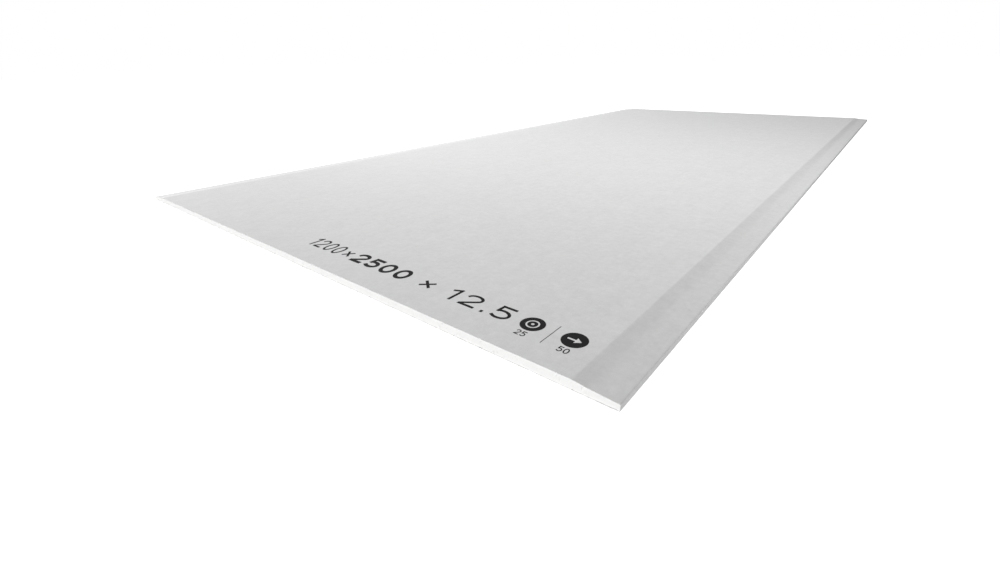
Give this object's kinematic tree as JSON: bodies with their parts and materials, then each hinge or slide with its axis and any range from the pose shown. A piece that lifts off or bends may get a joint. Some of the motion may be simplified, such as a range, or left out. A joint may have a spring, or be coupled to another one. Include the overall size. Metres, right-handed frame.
{
  "type": "drywall sheet",
  "caption": "Flat gypsum board with tapered long edges: a white core between a face paper wrapped round both long edges and a back paper.",
  "frame": {"origin": "middle of the back, on the surface that the sheet lies on", "axes": "+X across the width, +Y along the length, +Z from the back to the face, which is up as stored"},
  "size_m": [1.2, 2.5, 0.0125],
  "materials": {
    "gypsum": "matte",
    "face_paper": "matte",
    "back_paper": "matte"
  },
  "bodies": {
    "root": {"gypsum_core": "gypsum", "face_paper": "face_paper", "back_paper": "back_paper"}
  },
  "joints": []
}
